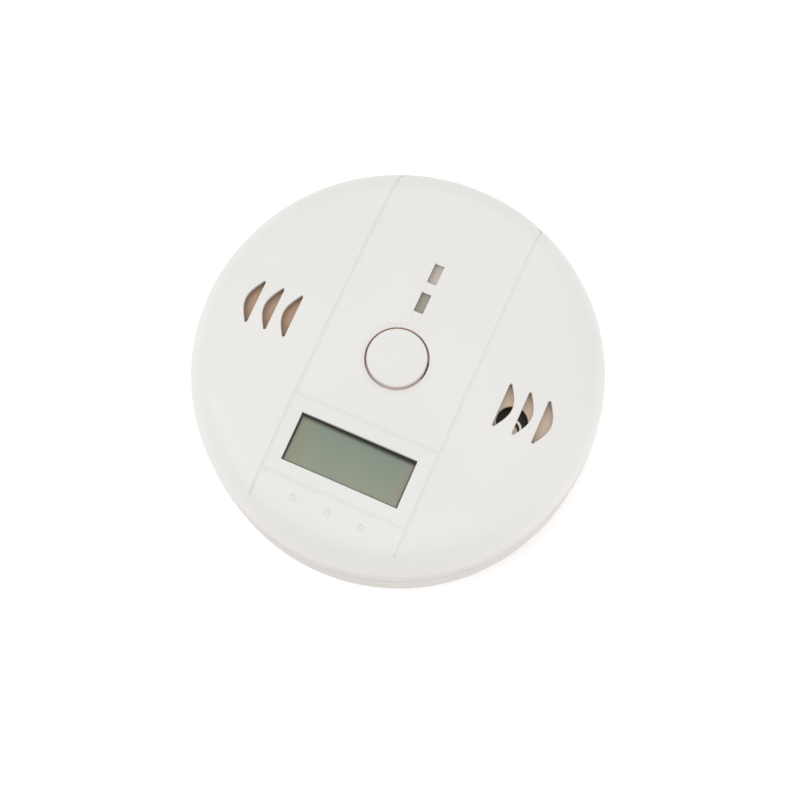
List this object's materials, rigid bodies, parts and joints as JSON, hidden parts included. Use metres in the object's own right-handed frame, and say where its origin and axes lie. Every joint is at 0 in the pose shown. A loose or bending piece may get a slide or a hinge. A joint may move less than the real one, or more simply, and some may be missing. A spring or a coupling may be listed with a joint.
{
  "type": "carbon monoxide detector",
  "caption": "Round domed battery carbon monoxide detector with a display, test button and vents, on a twist-off mounting base.",
  "frame": {"origin": "centre of the mounting base's back face, which lies on the wall, ceiling or table", "axes": "+Z out of the domed face, +Y from the test button towards the indicator lights, +X to the right of someone facing it"},
  "size_m": [0.1038, 0.1038, 0.0369],
  "materials": {
    "casing": "fine-textured white ABS",
    "button": "satin white ABS",
    "inner_white": "plain off-white ABS",
    "port_ring": "glossy white",
    "buzzer": "black moulding",
    "piezo": "pale ceramic-coated brass",
    "board": "green solder mask over glass-fibre laminate",
    "chip": "black epoxy",
    "capacitor": "dark blue shrink sleeve",
    "ferrite": "dark grey ferrite",
    "alarm_led": "red tinted clear epoxy",
    "power_led": "green tinted clear epoxy",
    "alarm_lens": "smoky pinkish acrylic",
    "power_lens": "smoky greenish acrylic",
    "display": "grey-green blank liquid crystal glass",
    "zebra": "pink silicone with dark layers",
    "switch": "black switch housing",
    "sensor_can": "drawn steel can",
    "gasket": "closed-cell foam",
    "cell_sleeve": "plain dark sleeve over a steel can",
    "contact": "nickel-plated spring steel",
    "screw": "zinc-plated steel"
  },
  "bodies": {
    "base": {"mounting_base": "casing"},
    "detector": {"front_cover": "casing", "rear_housing": "casing", "switch_body": "switch", "circuit_board": "board", "controller_chip": "chip", "capacitors": "capacitor", "chip_resistors": "chip", "boost_inductor": "ferrite", "alarm_led": "alarm_led", "power_led": "power_led", "alarm_light_guide": "alarm_lens", "power_light_guide": "power_lens", "lcd_panel": "display", "lcd_holder": "inner_white", "zebra_strips": "zebra", "buzzer_body": "buzzer", "buzzer_disc": "piezo", "sounder_port_ring": "port_ring", "sounder_plate": "inner_white", "sensor_cover": "inner_white", "co_sensor": "sensor_can", "sensor_gasket": "gasket", "battery_left": "cell_sleeve", "battery_middle": "cell_sleeve", "battery_right": "cell_sleeve", "battery_contact_plates": "contact", "battery_springs": "contact", "case_screws": "screw", "circuit_board_screws": "screw"},
    "button": {"test_button": "button"},
    "plunger": {"switch_plunger": "inner_white"}
  },
  "joints": [
    {"name": "base_twist", "type": "hinge", "parent": "base", "child": "detector", "pos_m": [0, 0, 0.0044], "axis": [0, 0, 1], "range_deg": [0, 18]},
    {"name": "button_press", "type": "slide", "parent": "detector", "child": "button", "axis": [0, 0, -1], "range_m": [0, 0.0005], "stiffness_N_per_m": 3000, "springref_m": -0.0002},
    {"name": "plunger_press", "type": "slide", "parent": "detector", "child": "plunger", "axis": [0, 0, -1], "range_m": [0, 0.0005]}
  ],
  "couplings": [
    {"joint": "plunger_press", "follows": "button_press", "ratio": 1}
  ]
}
